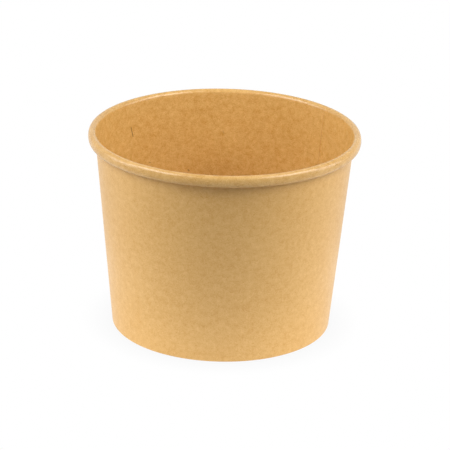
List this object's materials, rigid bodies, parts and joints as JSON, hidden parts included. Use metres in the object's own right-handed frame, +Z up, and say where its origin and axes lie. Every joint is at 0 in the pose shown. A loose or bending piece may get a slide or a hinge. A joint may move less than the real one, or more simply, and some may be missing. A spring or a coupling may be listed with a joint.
{
  "type": "paper soup cup",
  "caption": "Tapered round paper cup with a rolled rim, a lapped side wall and a recessed floor clasped by a folded hem, for hot soup or other food.",
  "frame": {"origin": "centre of the foot ring, on the table", "axes": "+Z up along the cup's axis, -Y towards the front of the picture, the lap seam at the back right, 38 degrees from +X towards +Y"},
  "size_m": [0.098, 0.098, 0.0731],
  "materials": {
    "wall_board": "unbleached brown paperboard, fine fibres, matt outside, thin clear lining inside",
    "base_board": "unbleached brown paperboard with a thin clear lining"
  },
  "bodies": {
    "root": {"side_wall": "wall_board", "base_disc": "base_board"}
  },
  "joints": []
}
